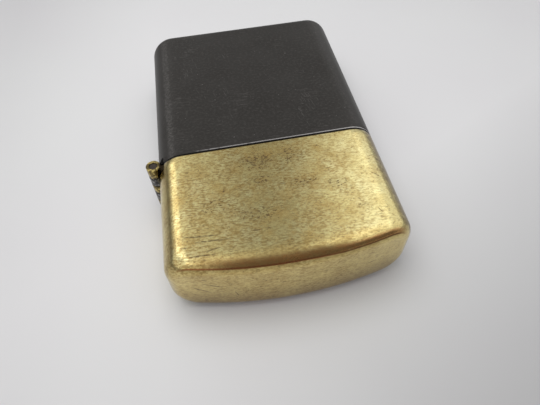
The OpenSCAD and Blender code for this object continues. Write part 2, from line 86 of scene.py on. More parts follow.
# Marks of use on the lid, in millimetres: both ends and the thickness of each scored line
FACE_SCORES = (((-14.6, -21.3), (-9.4, -21.8), 0.19), ((-13.2, -22.4), (-8.1, -22.7), 0.18),
               ((-11.5, -24.0), (-9.7, -23.8), 0.15), ((-14.5, -24.5), (-10.3, -24.7), 0.19),
               ((-15.0, -22.8), (-14.1, -23.0), 0.16), ((-4.9, -22.0), (-3.8, -22.1), 0.18),
               ((-3.2, -21.9), (-2.3, -22.1), 0.20), ((14.1, -15.2), (15.6, -16.3), 0.12),
               ((15.0, -12.0), (16.0, -11.5), 0.12), ((13.2, -21.7), (13.6, -22.7), 0.08),
               ((-4.1, -8.8), (-2.4, -10.5), 0.22), ((1.2, -8.9), (2.3, -8.7), 0.20),
               ((2.6, -9.4), (2.3, -11.2), 0.14), ((-3.5, -13.8), (-1.9, -13.7), 0.16),
               ((-0.2, -14.4), (1.3, -14.8), 0.14), ((-6.8, -7.3), (-5.8, -7.5), 0.18))
END_SCORES = (((-14.6, 7.1), (-12.2, 5.5), 0.20), ((-13.0, 8.2), (-10.2, 7.2), 0.18),
              ((-13.0, 9.6), (-12.2, 9.0), 0.13), ((-16.4, 6.2), (-15.6, 5.7), 0.10),
              ((-8.8, 5.6), (-8.3, 4.0), 0.11), ((10.9, 9.1), (11.7, 9.05), 0.14),
              ((10.8, 6.3), (12.6, 6.2), 0.12))
# Where the lid's end face lies, and how far off a face its scored lines still show
LID_END, SCORE_DEPTH = -26.6, 1.8
# Middle, reach and weight of each tarnished patch on the lid's upper face
SMUDGES = (((-2.0, -9.8), (3.2, 1.7), 1.0), ((3.0, -9.5), (2.0, 1.6), 0.8),
           ((-2.2, -13.3), (2.4, 1.4), 0.6), ((3.8, -14.9), (2.6, 1.2), 0.55),
           ((-3.6, -19.1), (4.2, 1.8), 0.5), ((9.0, -16.3), (2.0, 1.6), 0.5),
           ((-9.5, -16.7), (2.6, 2.0), 0.35), ((11.6, -20.9), (1.3, 0.7), 0.5))
SMUDGE_DEPTH = 1.5


def row(x, y, z):
    """A place on the standing lighter, in millimetres, as a place in the row frame, in metres."""
    return Vector((x, TOTAL_H / 2 - z, BODY_T / 2 + y)) * MM


def blend(a, b, t):
    return a + (b - a) * t


def blend_colour(a, b, t):
    return tuple(blend(x, y, t) for x, y in zip(a, b))


def add_object(name, data):
    made = bpy.data.objects.new(name, data)
    bpy.context.scene.collection.objects.link(made)
    return made


class Graph:
    """A node tree written as calls: each call adds one node and gives back its result."""

    def __init__(self, tree):
        self.tree = tree

    def link(self, source, target):
        self.tree.links.new(source, target)

    def node(self, kind, inputs=None, **settings):
        made = self.tree.nodes.new(kind)
        for key, value in settings.items():
            setattr(made, key, value)
        for key, value in (inputs or {}).items():
            self.feed(made.inputs[key], value)
        return made

    def feed(self, socket, value):
        if isinstance(value, bpy.types.NodeSocket):
            self.link(value, socket)
        else:
            socket.default_value = value

    def math(self, kind, a, b=0.0, c=0.0):
        return self.node("ShaderNodeMath", {0: a, 1: b, 2: c}, operation=kind).outputs[0]

    def times(self, first, *others):
        for other in others:
            first = self.math("MULTIPLY", first, other)
        return first

    def most(self, first, *others):
        for other in others:
            first = self.math("MAXIMUM", first, other)
        return first

    def vector(self, kind, a, b=(0, 0, 0)):
        return self.node("ShaderNodeVectorMath", {0: a, 1: b}, operation=kind).outputs["Vector"]

    def scaled(self, a, by):
        made = self.node("ShaderNodeVectorMath", {0: a, "Scale": by}, operation="SCALE")
        return made.outputs["Vector"]

    def parts(self, a):
        return self.node("ShaderNodeSeparateXYZ", {0: a}).outputs

    def joined(self, x, y, z):
        return self.node("ShaderNodeCombineXYZ", {0: x, 1: y, 2: z}).outputs[0]

    def ramp(self, value, low, high, to_low=0.0, to_high=1.0, how="LINEAR"):
        """A straight ramp from low to high, held at both ends, which may also fall."""
        return self.node("ShaderNodeMapRange", {"Value": value, "From Min": low, "From Max": high,
                                                "To Min": to_low, "To Max": to_high},
                         interpolation_type=how).outputs["Result"]

    def step(self, value, low, high, to_low=0.0, to_high=1.0):
        """The same, but smooth at both ends."""
        return self.ramp(value, low, high, to_low, to_high, "SMOOTHSTEP")

    def mix(self, share, a, b):
        made = self.node("ShaderNodeMix", data_type="RGBA")
        for index, value in ((0, share), (6, a), (7, b)):
            self.feed(made.inputs[index], value)
        return made.outputs[2]

    def noise(self, place, scale, detail=2.0, rough=0.5, bend=0.0):
        return self.node("ShaderNodeTexNoise", {"Vector": place, "Scale": scale, "Detail": detail,
                                                "Roughness": rough, "Distortion": bend}).outputs[0]

    def attribute(self, name):
        return self.node("ShaderNodeAttribute", attribute_name=name).outputs["Fac"]

    def group(self, tree, **inputs):
        made = self.node("ShaderNodeGroup", node_tree=tree)
        for key, value in inputs.items():
            self.feed(made.inputs[key.capitalize()], value)
        return made.outputs


# Camera, light and floor

def set_camera():
    az, el, roll = (math.radians(a) for a in (CAMERA_AZIMUTH, CAMERA_ELEVATION, CAMERA_ROLL))
    back = Vector((math.sin(az) * math.cos(el), -math.cos(az) * math.cos(el), math.sin(el)))
    right = Vector((0, 0, 1)).cross(back).normalized()
    up = back.cross(right)
    across = right * math.cos(roll) + up * math.sin(roll)
    upward = up * math.cos(roll) - right * math.sin(roll)
    data = bpy.data.cameras.new("photo_camera")
    data.sensor_width = SENSOR_W
    data.lens = CAMERA_FOCAL * SENSOR_W / FRAME_W
    data.clip_start, data.clip_end = CLIP_NEAR, CLIP_FAR
    camera = add_object("photo_camera", data)
    place = (Vector(CAMERA_TARGET) + back * CAMERA_DISTANCE) * MM
    turn = Matrix((across, upward, back)).transposed().to_4x4()
    camera.matrix_world = Matrix.Translation(place) @ turn
    bpy.context.scene.camera = camera


def set_light():
    """A soft room: pale panels left and right, dimmer between them, and dark on the viewer's side."""
    bpy.context.scene.view_settings.view_transform = "Standard"
    world = bpy.data.worlds.new("soft_room")
    world.use_nodes = True
    bpy.context.scene.world = world
    g = Graph(world.node_tree)
    g.tree.nodes.clear()
    way = g.node("ShaderNodeTexCoord").outputs["Generated"]
    x, y, z = g.parts(way)
    viewer = g.step(y, 0.10, -0.95)
    # Both panels draw back on the viewer's side, where the right one also ends high above the floor
    right = g.step(x, g.ramp(viewer, 0, 1, 0.10, 0.40), g.ramp(viewer, 0, 1, 0.35, 0.47))
    right = g.times(right, g.step(g.math("ADD", z, g.ramp(viewer, 0.4, 0.9, 1.0, 0.0)), 0.38, 0.60))
    right = g.times(right, g.step(x, 0.42, 0.70, 1.27, 0.75), g.step(y, 0.62, 0.78, 1.0, 0.30))
    left = g.times(g.step(x, g.ramp(viewer, 0, 1, 0.08, -0.24), g.ramp(viewer, 0, 1, -0.18, -0.42)),
                   g.ramp(viewer, 0, 1, 0.59, 0.95))
    level = g.math("ADD", g.ramp(viewer, 0, 1, 0.455, 0.070), g.math("ADD", right, left))
    panes = []
    for middle, narrow, bright in WINDOW_PANES:
        near = g.node("ShaderNodeVectorMath", {0: way, 1: Vector(middle).normalized()},
                      operation="DOT_PRODUCT")
        panes.append(g.step(near.outputs["Value"], narrow, PANE_CORE, 0.0, bright))
    level = g.math("ADD", level, g.most(*panes))
    # The room is dim near the floor, and higher up on the left, away from the viewer
    raised = g.math("MULTIPLY_ADD", g.times(viewer, g.ramp(x, 0.0, -0.3)), 0.2, z)
    low = g.step(raised, g.ramp(x, -0.3, 0.3, 0.34, 0.20), g.ramp(x, -0.3, 0.3, 0.12, -0.04))
    level = g.math("ADD", g.times(level, g.math("SUBTRACT", 1.0, low)),
                   g.times(low, g.ramp(viewer, 0, 1, 0.22, 0.10)))
    # Reflections see the panels, matt surfaces only a soft ceiling, and the camera a plain backdrop
    ray = g.node("ShaderNodeLightPath").outputs
    tint = g.mix(g.ramp(level, 0.0, ROOM_PEAK), BLACK, ROOM_TINT)
    ceiling = g.times(g.step(z, 0.05, 0.95, 0.28, 0.86), g.ramp(y, -0.7, 0.5, 0.85, 1.0))
    spread_light = g.mix(g.ramp(ceiling, 0.0, CEILING_PEAK), BLACK, CEILING_TINT)
    tint = g.mix(ray["Is Diffuse Ray"], tint, spread_light)
    tint = g.mix(ray["Is Camera Ray"], tint, BACKDROP_GREY)
    sky = g.node("ShaderNodeBackground", {"Color": tint, "Strength": 1.0})
    g.link(sky.outputs[0], g.node("ShaderNodeOutputWorld").inputs["Surface"])
    data = bpy.data.lights.new("ceiling_lamp", "AREA")
    data.shape, data.size, data.energy = "DISK", LAMP_SIZE, LAMP_POWER
    lamp = add_object("ceiling_lamp", data)
    lamp.location = LAMP_PLACE
    lamp.visible_glossy = False


def lay_floor():
    mesh = bpy.data.meshes.new("floor")
    signs = ((-1, -1), (1, -1), (1, 1), (-1, 1))
    mesh.from_pydata([(FLOOR_HALF * x, FLOOR_HALF * y, 0) for x, y in signs], [], [(0, 1, 2, 3)])
    floor = add_object("floor", mesh)
    mesh.materials.append(paper_floor())


# Effects that several finishes share

def new_group(name, inputs, outputs):
    """A shader group with named inputs, given as name: start value, and named outputs."""
    tree = bpy.data.node_groups.new(name, "ShaderNodeTree")
    for key, start in inputs.items():
        kind = "NodeSocketVector" if isinstance(start, tuple) else "NodeSocketFloat"
        tree.interface.new_socket(key, in_out="INPUT", socket_type=kind).default_value = start
    for key in outputs:
        tree.interface.new_socket(key, in_out="OUTPUT", socket_type="NodeSocketFloat")
    g = Graph(tree)
    return g, g.node("NodeGroupInput").outputs, g.node("NodeGroupOutput").inputs


def scratch_group():
    """Fine lines along X of the turned place, broken up into patches."""
    g, given, out = new_group("scratches", {"Place": (0, 0, 0), "Turn": 0.0, "Long": 8.0, "Thin": 0.12,
                                            "Amount": 0.3, "Patch": 6.0}, ["Mask"])
    turned = g.node("ShaderNodeMapping", {"Vector": given["Place"],
                                          "Rotation": g.joined(0, 0, given["Turn"])}).outputs[0]
    sway = g.node("ShaderNodeTexNoise", {"Vector": turned, "Scale": 0.12}).outputs["Color"]
    x, y, z = g.parts(g.vector("ADD", turned, g.scaled(sway, 1.2)))
    drawn = g.joined(g.math("DIVIDE", x, given["Long"]), g.math("DIVIDE", y, given["Thin"]),
                     g.math("DIVIDE", z, given["Thin"]))
    lines = g.noise(drawn, 1.0, 1.0)
    elsewhere = g.vector("ADD", turned, (31.0, 7.0, 3.0))
    patch = g.noise(elsewhere, g.math("DIVIDE", 1.0, given["Patch"]), 2.0)
    level = g.math("SUBTRACT", 0.86, g.times(given["Amount"], g.ramp(patch, 0.40, 0.70)))
    g.link(g.ramp(g.math("SUBTRACT", lines, level), 0.0, 0.08), out["Mask"])
    return g.tree


def patina_group():
    """Blotches of tarnish with ragged borders, from a few millimetres down to specks."""
    g, given, out = new_group("patina", {"Place": (0, 0, 0), "Size": 4.0, "Cover": 0.5, "Ragged": 0.65},
                              ["Mask", "Speck"])
    fine = g.math("DIVIDE", 1.0, given["Size"])
    cloud = g.noise(given["Place"], fine, 8.0, given["Ragged"], 0.4)
    g.link(g.ramp(g.math("ADD", cloud, given["Cover"]), 0.88, 1.16), out["Mask"])
    elsewhere = g.vector("ADD", given["Place"], (11.0, 23.0, 5.0))
    grit = g.noise(elsewhere, g.math("MULTIPLY", fine, 11.0), 3.0, 0.7)
    g.link(g.ramp(g.math("ADD", grit, g.times(cloud, 0.5)), 0.88, 1.0), out["Speck"])
    return g.tree


def grain_group():
    """Even fine grain, which can be drawn out along X to look brushed."""
    g, given, out = new_group("grain", {"Place": (0, 0, 0), "Size": 0.2, "Draw": 1.0}, ["Value"])
    x, y, z = g.parts(given["Place"])
    drawn = g.joined(g.math("DIVIDE", x, given["Draw"]), y, z)
    g.link(g.noise(drawn, g.math("DIVIDE", 1.0, given["Size"]), 4.0, 0.6), out["Value"])
    return g.tree


def wear_group():
    """Rubbed places along an edge, which is given as a mask."""
    g, given, out = new_group("edge wear", {"Place": (0, 0, 0), "Edge": 0.0, "Amount": 0.5,
                                            "Breaks": 0.8}, ["Mask"])
    rag = g.noise(given["Place"], g.math("DIVIDE", 1.0, given["Breaks"]), 6.0, 0.7)
    level = g.math("ADD", g.times(given["Edge"], given["Amount"]), rag)
    g.link(g.ramp(level, 0.72, 0.98), out["Mask"])
    return g.tree


def score_group():
    """One scored line in the plane of X and Y: it sways and thins out at its ends."""
    g, given, out = new_group("scored line", {"Place": (0, 0, 0), "Middle": (0, 0, 0), "Turn": 0.0,
                                              "Long": 4.0, "Thick": 0.1, "Sway": 0.0}, ["Mask"])
    local = g.node("ShaderNodeMapping", {"Vector": given["Place"], "Location": given["Middle"],
                                         "Rotation": g.joined(0, 0, given["Turn"])},
                   vector_type="TEXTURE").outputs[0]
    x, y, z = g.parts(local)
    off = g.math("ABSOLUTE", g.math("ADD", y, given["Sway"]))
    along = g.math("DIVIDE", g.math("ABSOLUTE", x), g.times(given["Long"], 0.5))
    width = g.times(given["Thick"], g.math("SQRT", g.ramp(along, 0.2, 1.0, 1.0, 0.02)))
    line = g.times(g.ramp(off, width, g.times(width, 0.25)), g.math("LESS_THAN", along, 1.0),
                   g.math("LESS_THAN", g.math("ABSOLUTE", z), SCORE_DEPTH))
    g.link(line, out["Mask"])
    return g.tree


def smudge_group():
    """One ragged patch round a middle place."""
    g, given, out = new_group("smudge", {"Place": (0, 0, 0), "Middle": (0, 0, 0), "Reach": (1, 1, 1),
                                         "Rag": 0.0}, ["Mask"])
    local = g.node("ShaderNodeMapping", {"Vector": given["Place"], "Location": given["Middle"],
                                         "Scale": given["Reach"]}, vector_type="TEXTURE").outputs[0]
    far = g.node("ShaderNodeVectorMath", {0: local}, operation="LENGTH").outputs["Value"]
    g.link(g.step(g.math("ADD", far, given["Rag"]), 1.25, 0.1), out["Mask"])
    return g.tree


SCRATCHES, PATINA, GRAIN, WEAR = scratch_group(), patina_group(), grain_group(), wear_group()
SCORE, SMUDGE = score_group(), smudge_group()


def new_material(name):
    made = bpy.data.materials.new(name)
    made.use_nodes = True
    g = Graph(made.node_tree)
    g.tree.nodes.clear()
    surface = g.node("ShaderNodeBsdfPrincipled")
    g.link(surface.outputs[0], g.node("ShaderNodeOutputMaterial").inputs["Surface"])
    place = g.scaled(g.node("ShaderNodeTexCoord").outputs["Object"], 1 / MM)
    return made, g, surface.inputs, place


def bump(g, height, strength, distance=0.02):
    made = g.node("ShaderNodeBump", {"Height": height, "Strength": strength, "Distance": distance * MM})
    return made.outputs[0]


def scored(g, place, lines, depth):
    """All the scored lines of one face, as one mask that breaks up along the lines."""
    sway = g.ramp(g.noise(place, 0.9, 2.0), 0.0, 1.0, -0.15, 0.15)
    mask = 0.0
    for (x0, y0), (x1, y1), thick in lines:
        line = g.group(SCORE, place=place, middle=((x0 + x1) / 2, (y0 + y1) / 2, depth),
                       turn=math.atan2(y1 - y0, x1 - x0), long=math.hypot(x1 - x0, y1 - y0),
                       thick=thick, sway=sway)
        mask = g.most(line["Mask"], mask)
    return g.times(mask, g.ramp(g.noise(place, 2.6, 3.0), 0.30, 0.52))


def smudged(g, place, patches):
    """All the tarnished patches of the upper face, as one mask."""
    rag = g.ramp(g.noise(place, 0.8, 5.0, 0.65), 0.0, 1.0, -0.9, 0.9)
    mask = 0.0
    for middle, reach, weight in patches:
        patch = g.group(SMUDGE, place=place, middle=(*middle, BODY_T), reach=(*reach, SMUDGE_DEPTH),
                        rag=rag)
        mask = g.most(g.times(patch["Mask"], weight), mask)
    return mask


# Finishes, each with its colours before it

PAPER_WARM, PAPER_COOL = (0.705, 0.695, 0.70, 1), (0.725, 0.725, 0.72, 1)


def paper_floor():
    """Pale paper, with painted shade that leaves it greyer towards the viewer's right and at the far left.
    """
    made, g, s, place = new_material("paper_floor")
    x, y, _ = g.parts(place)
    cloud = g.noise(place, 0.02, 3.0)
    tone = g.mix(g.ramp(cloud, 0.3, 0.7), PAPER_WARM, PAPER_COOL)
    # Painted shade: the paper greys towards the viewer's right and at the far left
    ahead = g.math("SUBTRACT", g.times(x, 0.5), y)
    dim = g.times(g.ramp(ahead, g.ramp(x, -30.0, 10.0, 0.0, 18.0), 62.0),
                  g.ramp(x, -30.0, 10.0, 0.15, 0.36), g.step(ahead, 160.0, 75.0))
    light = g.times(g.math("SUBTRACT", 1.0, dim), g.ramp(x, -20.0, -55.0, 1.0, 0.88))
    g.feed(s["Base Color"], g.mix(light, BLACK, tone))
    s["Roughness"].default_value = 0.85
    s["Specular IOR Level"].default_value = 0.2
    return made


# From bare metal through tarnish to the brown and painted dark reflection along the rounded edge, with
# painted shade at the seam and at the foot of the end
BRASS_DEEP, BRASS_PALE = (0.685, 0.605, 0.280, 1), (0.710, 0.652, 0.340, 1)
BRASS_END, BRASS_FILM = (0.84, 0.66, 0.27, 1), (0.45, 0.310, 0.102, 1)
BRASS_MOTTLE, BRASS_GRAIN = (0.42, 0.274, 0.092, 1), (0.325, 0.216, 0.070, 1)
BRASS_DULL, BRASS_CONTACT_SHADE = (0.110, 0.070, 0.032, 1), (0.17, 0.105, 0.080, 1)
BRASS_SEAM_SHADE, EDGE_TARNISH_AND_REFLECTION = (0.022, 0.016, 0.010, 1), (0.385, 0.185, 0.062, 1)
REFLECTION_LINE_RED, REFLECTION_LINE_DARK = (0.30, 0.085, 0.028, 1), (0.10, 0.038, 0.012, 1)


def aged_brass():
    """Brass under a worn film of tarnish, with marks of use, a rounded edge tarnished brown and painted
    with a dark reflection, and painted shade at the seam and low on the end.
    """
    made, g, s, place = new_material("aged_brass")
    x, y, z = g.parts(place)
    edge, side, rim = g.attribute("edge"), g.attribute("side"), g.attribute("rim")
    face = g.step(z, 9.0, 12.4, 0.75, 1.0)
    handled = g.times(face, g.step(x, 15.5, 5.0, 0.50, 1.0), g.step(y, -25.0, -19.5, 0.92, 1.0))
    film = g.times(g.group(PATINA, place=place, size=3.2, cover=0.50, ragged=0.72)["Mask"], face)
    cloud = g.noise(place, 0.22, 3.0, 0.6)
    grain = g.group(GRAIN, place=place, size=0.26, draw=2.2)["Value"]
    pits = g.group(GRAIN, place=g.vector("ADD", place, (3.0, 17.0, 29.0)), size=0.27, draw=1.6)["Value"]
    brushed = g.node("ShaderNodeMapping", {"Vector": place, "Rotation": (0, 0, 0.10)}).outputs[0]
    streak = g.group(GRAIN, place=brushed, size=0.22, draw=7.0)["Value"]
    rubbed = g.group(SCRATCHES, place=place, turn=0.06, long=3.0, thin=0.13, amount=0.26,
                     patch=6.0)["Mask"]
    scores = g.most(scored(g, place, FACE_SCORES, BODY_T),
                    scored(g, g.joined(x, z, y), END_SCORES, LID_END))
    smudge = smudged(g, place, SMUDGES)
    metal = g.mix(g.ramp(cloud, 0.35, 0.65), BRASS_DEEP, BRASS_PALE)
    end = g.step(y, -24.0, -26.0)
    metal = g.mix(g.times(end, 0.7), metal, BRASS_END)
    metal = g.mix(g.times(film, g.ramp(handled, 0.4, 1.0, 0.45, 0.82)), metal, BRASS_FILM)
    elsewhere = g.vector("ADD", place, (7.0, 3.0, 13.0))
    mottle = g.group(PATINA, place=elsewhere, size=1.25, cover=0.46, ragged=0.78)["Mask"]
    metal = g.mix(g.times(mottle, handled, 0.70), metal, BRASS_MOTTLE)
    drawn = g.math("ADD", grain, g.ramp(streak, 0.35, 0.65, -0.06, 0.06))
    fine = g.times(g.ramp(drawn, 0.46, 0.59, 0.0, 0.85), handled, g.ramp(cloud, 0.40, 0.58, 0.60, 1.0))
    metal = g.mix(fine, metal, BRASS_GRAIN)
    fleck = g.times(g.ramp(g.math("MULTIPLY_ADD", smudge, 0.035, pits), 0.565, 0.60),
                    g.ramp(handled, 0.3, 0.9, 0.8, 1.0))
    soiled = g.math("ADD", g.times(film, mottle), g.times(smudge, 1.6))
    dull = g.math("MINIMUM", 0.9, g.times(fleck, g.math("ADD", 0.20, soiled)))
    dull = g.most(dull, g.times(smudge, 0.30), g.times(scores, 0.90), g.times(rubbed, 0.55))
    # Along the rounded edge: brown tarnish with a painted dark reflection, and a painted dark red line at
    # its lower border
    below = g.math("SUBTRACT", edge, g.ramp(x, 1.0, 7.0, 0.655, 0.730))
    above = g.step(below, 0.03, -0.03)
    upper = g.step(edge, g.ramp(x, 3.0, 9.0, 0.10, 0.36), g.ramp(x, 3.0, 9.0, 0.45, 0.50))
    bend = g.times(upper, above, g.ramp(g.noise(place, 1.1, 5.0, 0.7), 0.30, 0.60, 0.55, 1.0),
                   g.step(x, -14.5, -7.0), g.step(x, 17.2, 15.0))
    crease = g.times(g.step(below, -0.10, -0.04), above, g.step(x, -16.5, -14.5), g.step(x, 17.0, 14.5))
    reflection_line_tone = g.mix(g.ramp(x, 1.0, 7.0), REFLECTION_LINE_RED, REFLECTION_LINE_DARK)
    # Darker narrow sides, and painted shade low on the end face, darkest where it meets the floor
    rag = g.ramp(g.noise(place, 1.3, 6.0, 0.75), 0.30, 0.70, -0.16, 0.16)
    turned = g.math("ADD", side, rag)
    flank = g.times(g.step(turned, 0.28, 0.52), g.step(x, 8.0, 16.0))
    strip = g.times(g.step(turned, 0.28, 0.42), g.step(turned, 0.64, 0.50), g.step(x, -8.0, -16.0))
    painted_contact_shade = g.times(g.most(g.step(z, 7.5, -1.5, 0.0, 0.80), g.step(z, 1.6, 0.5)), end)
    dull = g.most(dull, g.times(flank, 0.80), g.times(strip, 0.32))
    tone = g.mix(dull, metal, BRASS_DULL)
    # Painted shade low on the end face, where it meets the floor
    tone = g.mix(g.times(painted_contact_shade, 0.95), tone, BRASS_CONTACT_SHADE)
    # Painted shade: near black along the rim, where the seam between lid and case lies
    tone = g.mix(g.step(rim, 0.30, 0.14), tone, BRASS_SEAM_SHADE)
    # Partly brown tarnish, partly painted dark reflection along the rounded edge
    tone = g.mix(g.times(bend, 0.95), tone, EDGE_TARNISH_AND_REFLECTION)
    # A painted dark line at the lower border of the reflected band
    g.feed(s["Base Color"], g.mix(g.times(crease, 0.85), tone, reflection_line_tone))
    g.feed(s["Metallic"], g.math("SUBTRACT", 1.0, g.most(g.times(bend, 0.22), g.times(dull, 0.20))))
    g.feed(s["Roughness"], g.math("ADD", g.ramp(g.most(dull, g.times(film, 0.6)), 0.0, 0.8, 0.13, 0.30),
                                  g.ramp(grain, 0.3, 0.7, -0.02, 0.04)))
    g.feed(s["Normal"], bump(g, grain, 0.06))
    return made


GUN_DARK, GUN_LIGHT = (0.0278, 0.0254, 0.0228, 1), (0.0335, 0.0310, 0.0283, 1)
GUN_GRAIN, GUN_WORN, GUN_BARE = (0.054, 0.050, 0.046, 1), (0.115, 0.108, 0.102, 1), (0.40, 0.38, 0.37, 1)


def gunmetal():
    """Satin dark metal, rubbed along its upright edges and bare in a line beside the seam."""
    made, g, s, place = new_material("gunmetal")
    x = g.parts(place)["X"]
    side, rim = g.attribute("side"), g.attribute("rim")
    grain = g.group(GRAIN, place=place, size=0.40, draw=1.3)["Value"]
    cloud = g.noise(place, 0.14, 3.0, 0.6)
    fine = g.group(SCRATCHES, place=place, turn=0.15, long=4.0, thin=0.10, amount=0.26,
                   patch=5.0)["Mask"]
    cross = g.group(SCRATCHES, place=place, turn=1.35, long=3.0, thin=0.10, amount=0.24,
                    patch=6.0)["Mask"]
    band = g.times(g.step(side, 0.06, 0.20), g.step(side, 0.42, 0.30))
    rubbed = g.group(WEAR, place=place, edge=band, amount=0.29, breaks=0.40)["Mask"]
    rubbed = g.times(rubbed, g.step(x, -10.0, 12.0, 1.0, 0.35))
    specks = g.ramp(g.noise(place, 2.6, 2.0, 0.5), 0.73, 0.80)
    dark = g.mix(g.ramp(cloud, 0.35, 0.65), GUN_DARK, GUN_LIGHT)
    dark = g.mix(g.ramp(grain, 0.48, 0.66, 0.0, 0.6), dark, GUN_GRAIN)
    worn = g.mix(g.most(g.times(rubbed, 0.55), g.times(g.most(fine, cross), 0.6)), dark, GUN_WORN)
    broken = g.math("ADD", g.noise(place, 0.55, 4.0), g.ramp(x, -14.0, -6.0, -0.16, 0.10))
    broken = g.ramp(broken, 0.40, 0.52)
    line = g.times(g.step(rim, 0.30, 0.20), g.step(rim, 0.06, 0.13), broken)
    bare = g.most(line, g.times(specks, 0.45))
    g.feed(s["Base Color"], g.mix(bare, worn, GUN_BARE))
    g.feed(s["Metallic"], g.ramp(bare, 0.0, 1.0, 0.25, 1.0))
    s["Specular IOR Level"].default_value = 0.11
    g.feed(s["Roughness"], g.math("ADD", g.ramp(grain, 0.3, 0.7, 0.34, 0.44), g.times(bare, -0.04)))
    g.feed(s["Normal"], bump(g, grain, 0.16))
    return made


def plain_metal(name, light, dark, rough):
    """Worked metal with fine grain and a little tarnish."""
    made, g, s, place = new_material(name)
    grain = g.group(GRAIN, place=place, size=0.2, draw=1.0)["Value"]
    spots = g.group(PATINA, place=place, size=2.5, cover=0.34)
    tone = g.mix(g.ramp(grain, 0.30, 0.70), light, blend_colour(light, dark, 0.45))
    soiled = g.times(g.most(spots["Mask"], spots["Speck"]), 0.25)
    g.feed(s["Base Color"], g.mix(soiled, tone, dark))
    s["Metallic"].default_value = 1.0
    g.feed(s["Roughness"], g.math("ADD", g.ramp(grain, 0.3, 0.7, rough - 0.05, rough + 0.07),
                                  g.times(soiled, 0.2)))
    g.feed(s["Normal"], bump(g, grain, 0.12))
    return made


# Where the hinge comes out of its notch, along X; inside the notch the hinge carries painted shade
NOTCH_SHADED, NOTCH_OPEN = -17.45, -17.85


def worn_hinge(name, bright, dark, rough):
    """Heavily tarnished metal, rubbed bright in spots, with painted shade that turns it black inside the
    notch.
    """
    made, g, s, place = new_material(name)
    open_part = g.step(g.parts(place)["X"], NOTCH_SHADED, NOTCH_OPEN)
    spots = g.noise(place, 1.9, 4.0, 0.6)
    rubbed = g.times(g.ramp(spots, 0.53, 0.62), open_part)
    tarnish = g.mix(g.ramp(spots, 0.3, 0.5), dark, blend_colour(dark, bright, 0.22))
    # Painted shade: near black inside the notch, between lid and case
    tarnish = g.mix(open_part, blend_colour(dark, BLACK, 0.6), tarnish)
    g.feed(s["Base Color"], g.mix(rubbed, tarnish, bright))
    s["Metallic"].default_value = 1.0
    g.feed(s["Roughness"], g.ramp(rubbed, 0.0, 1.0, rough + 0.12, rough))
    g.feed(s["Normal"], bump(g, spots, 0.35, 0.05))
    return made


SHEET_LIGHT, SHEET_DARK = (0.54, 0.536, 0.525, 1), (0.37, 0.366, 0.358, 1)
HEAT_STAIN = (0.15, 0.115, 0.085, 1)


def insert_steel():
    """Brushed steel, with heat stains that grow towards the flame."""
    made, g, s, place = new_material("insert_steel")
    x, y, _ = g.parts(place)
    grain = g.group(GRAIN, place=place, size=0.12, draw=9.0)["Value"]
    spots = g.group(PATINA, place=place, size=2.0, cover=0.34)
    tone = g.mix(g.ramp(grain, 0.30, 0.70), SHEET_LIGHT, SHEET_DARK)
    flame = g.times(g.step(y, -11.0, -20.0), g.step(g.math("ABSOLUTE", x), 9.5, 3.0))
    burnt = g.times(flame, g.ramp(g.noise(place, 0.45, 5.0, 0.6), 0.32, 0.66))
    soiled = g.most(g.times(burnt, 0.8), g.times(g.most(spots["Mask"], spots["Speck"]), 0.25))
    g.feed(s["Base Color"], g.mix(soiled, tone, HEAT_STAIN))
    s["Metallic"].default_value = 1.0
    g.feed(s["Roughness"], g.math("ADD", g.ramp(grain, 0.3, 0.7, 0.22, 0.34), g.times(soiled, 0.2)))
    g.feed(s["Normal"], bump(g, grain, 0.12))
    return made


def fibrous(g, s, fibre, sheen, depth):
    """A matt, fuzzy surface, from the pattern of its fibres."""
    g.feed(s["Roughness"], g.ramp(fibre, 0.3, 0.7, 0.98, 0.85))
    s["Specular IOR Level"].default_value = 0.15
    s["Sheen Weight"].default_value = sheen
    g.feed(s["Normal"], bump(g, fibre, 0.5, depth))


def cotton(name, light, dark, size):
    """Matted fibres, a little darker in clouds."""
    made, g, s, place = new_material(name)
    fibre = g.noise(place, 1 / size, 5.0, 0.65, 0.8)
    cloud = g.noise(place, 0.4, 3.0)
    tone = g.mix(g.ramp(fibre, 0.30, 0.70), dark, light)
    g.feed(s["Base Color"], g.mix(g.ramp(cloud, 0.4, 0.7, 0.0, 0.35), tone, dark))
    fibrous(g, s, fibre, 0.3, 0.12)
    return made


WICK_DARK, WICK_LIGHT, WICK_CHAR = (0.50, 0.43, 0.30, 1), (0.80, 0.74, 0.60, 1), (0.022, 0.020, 0.018, 1)


def wick_cotton():
    """Yellowed cotton, burnt black at the wick's tip."""
    made, g, s, place = new_material("wick_cotton")
    y = g.parts(place)["Y"]
    fibre = g.noise(place, 5.0, 4.0, 0.65, 0.6)
    tone = g.mix(g.ramp(fibre, 0.30, 0.70), WICK_DARK, WICK_LIGHT)
    tip = row(0, 0, CAN_TOP + WICK_H).y / MM
    burnt = g.step(g.math("ADD", y, g.times(fibre, 2.0)), tip + 4.2, tip + 1.6)
    g.feed(s["Base Color"], g.mix(burnt, tone, WICK_CHAR))
    fibrous(g, s, fibre, 0.2, 0.10)
    return made


# Lid and case, as smooth drawn cups

# Pieces round the plan and over the rounded edge, and shares of the way along walls and caps
END_PIECES, FACE_PIECES, CORNER_STEPS, FILLET_STEPS = 6, 24, 9, 10
LID_WALL_STEPS = (0.15, 0.4, 0.65, 0.85, 0.95, 1)
CASE_WALL_STEPS = (0.1, 0.3, 0.5, 0.7, 0.9, 0.97, 1)
CAP_STEPS = (0.08, 0.25, 0.5, 0.75, 1.0)
# The base's pressed panel: way in from the rounded edge in millimetres, and share of the panel's depth
PANEL_PROFILE = ((0.5, 0), (0.9, 0), (1.1, 0.02), (1.2, 0.10), (1.3, 0.5), (1.4, 0.90), (1.5, 0.98),
                 (1.7, 1.0))
# Cosine of the outward angle under which a column faces the hinge
HINGE_FACING = -0.01
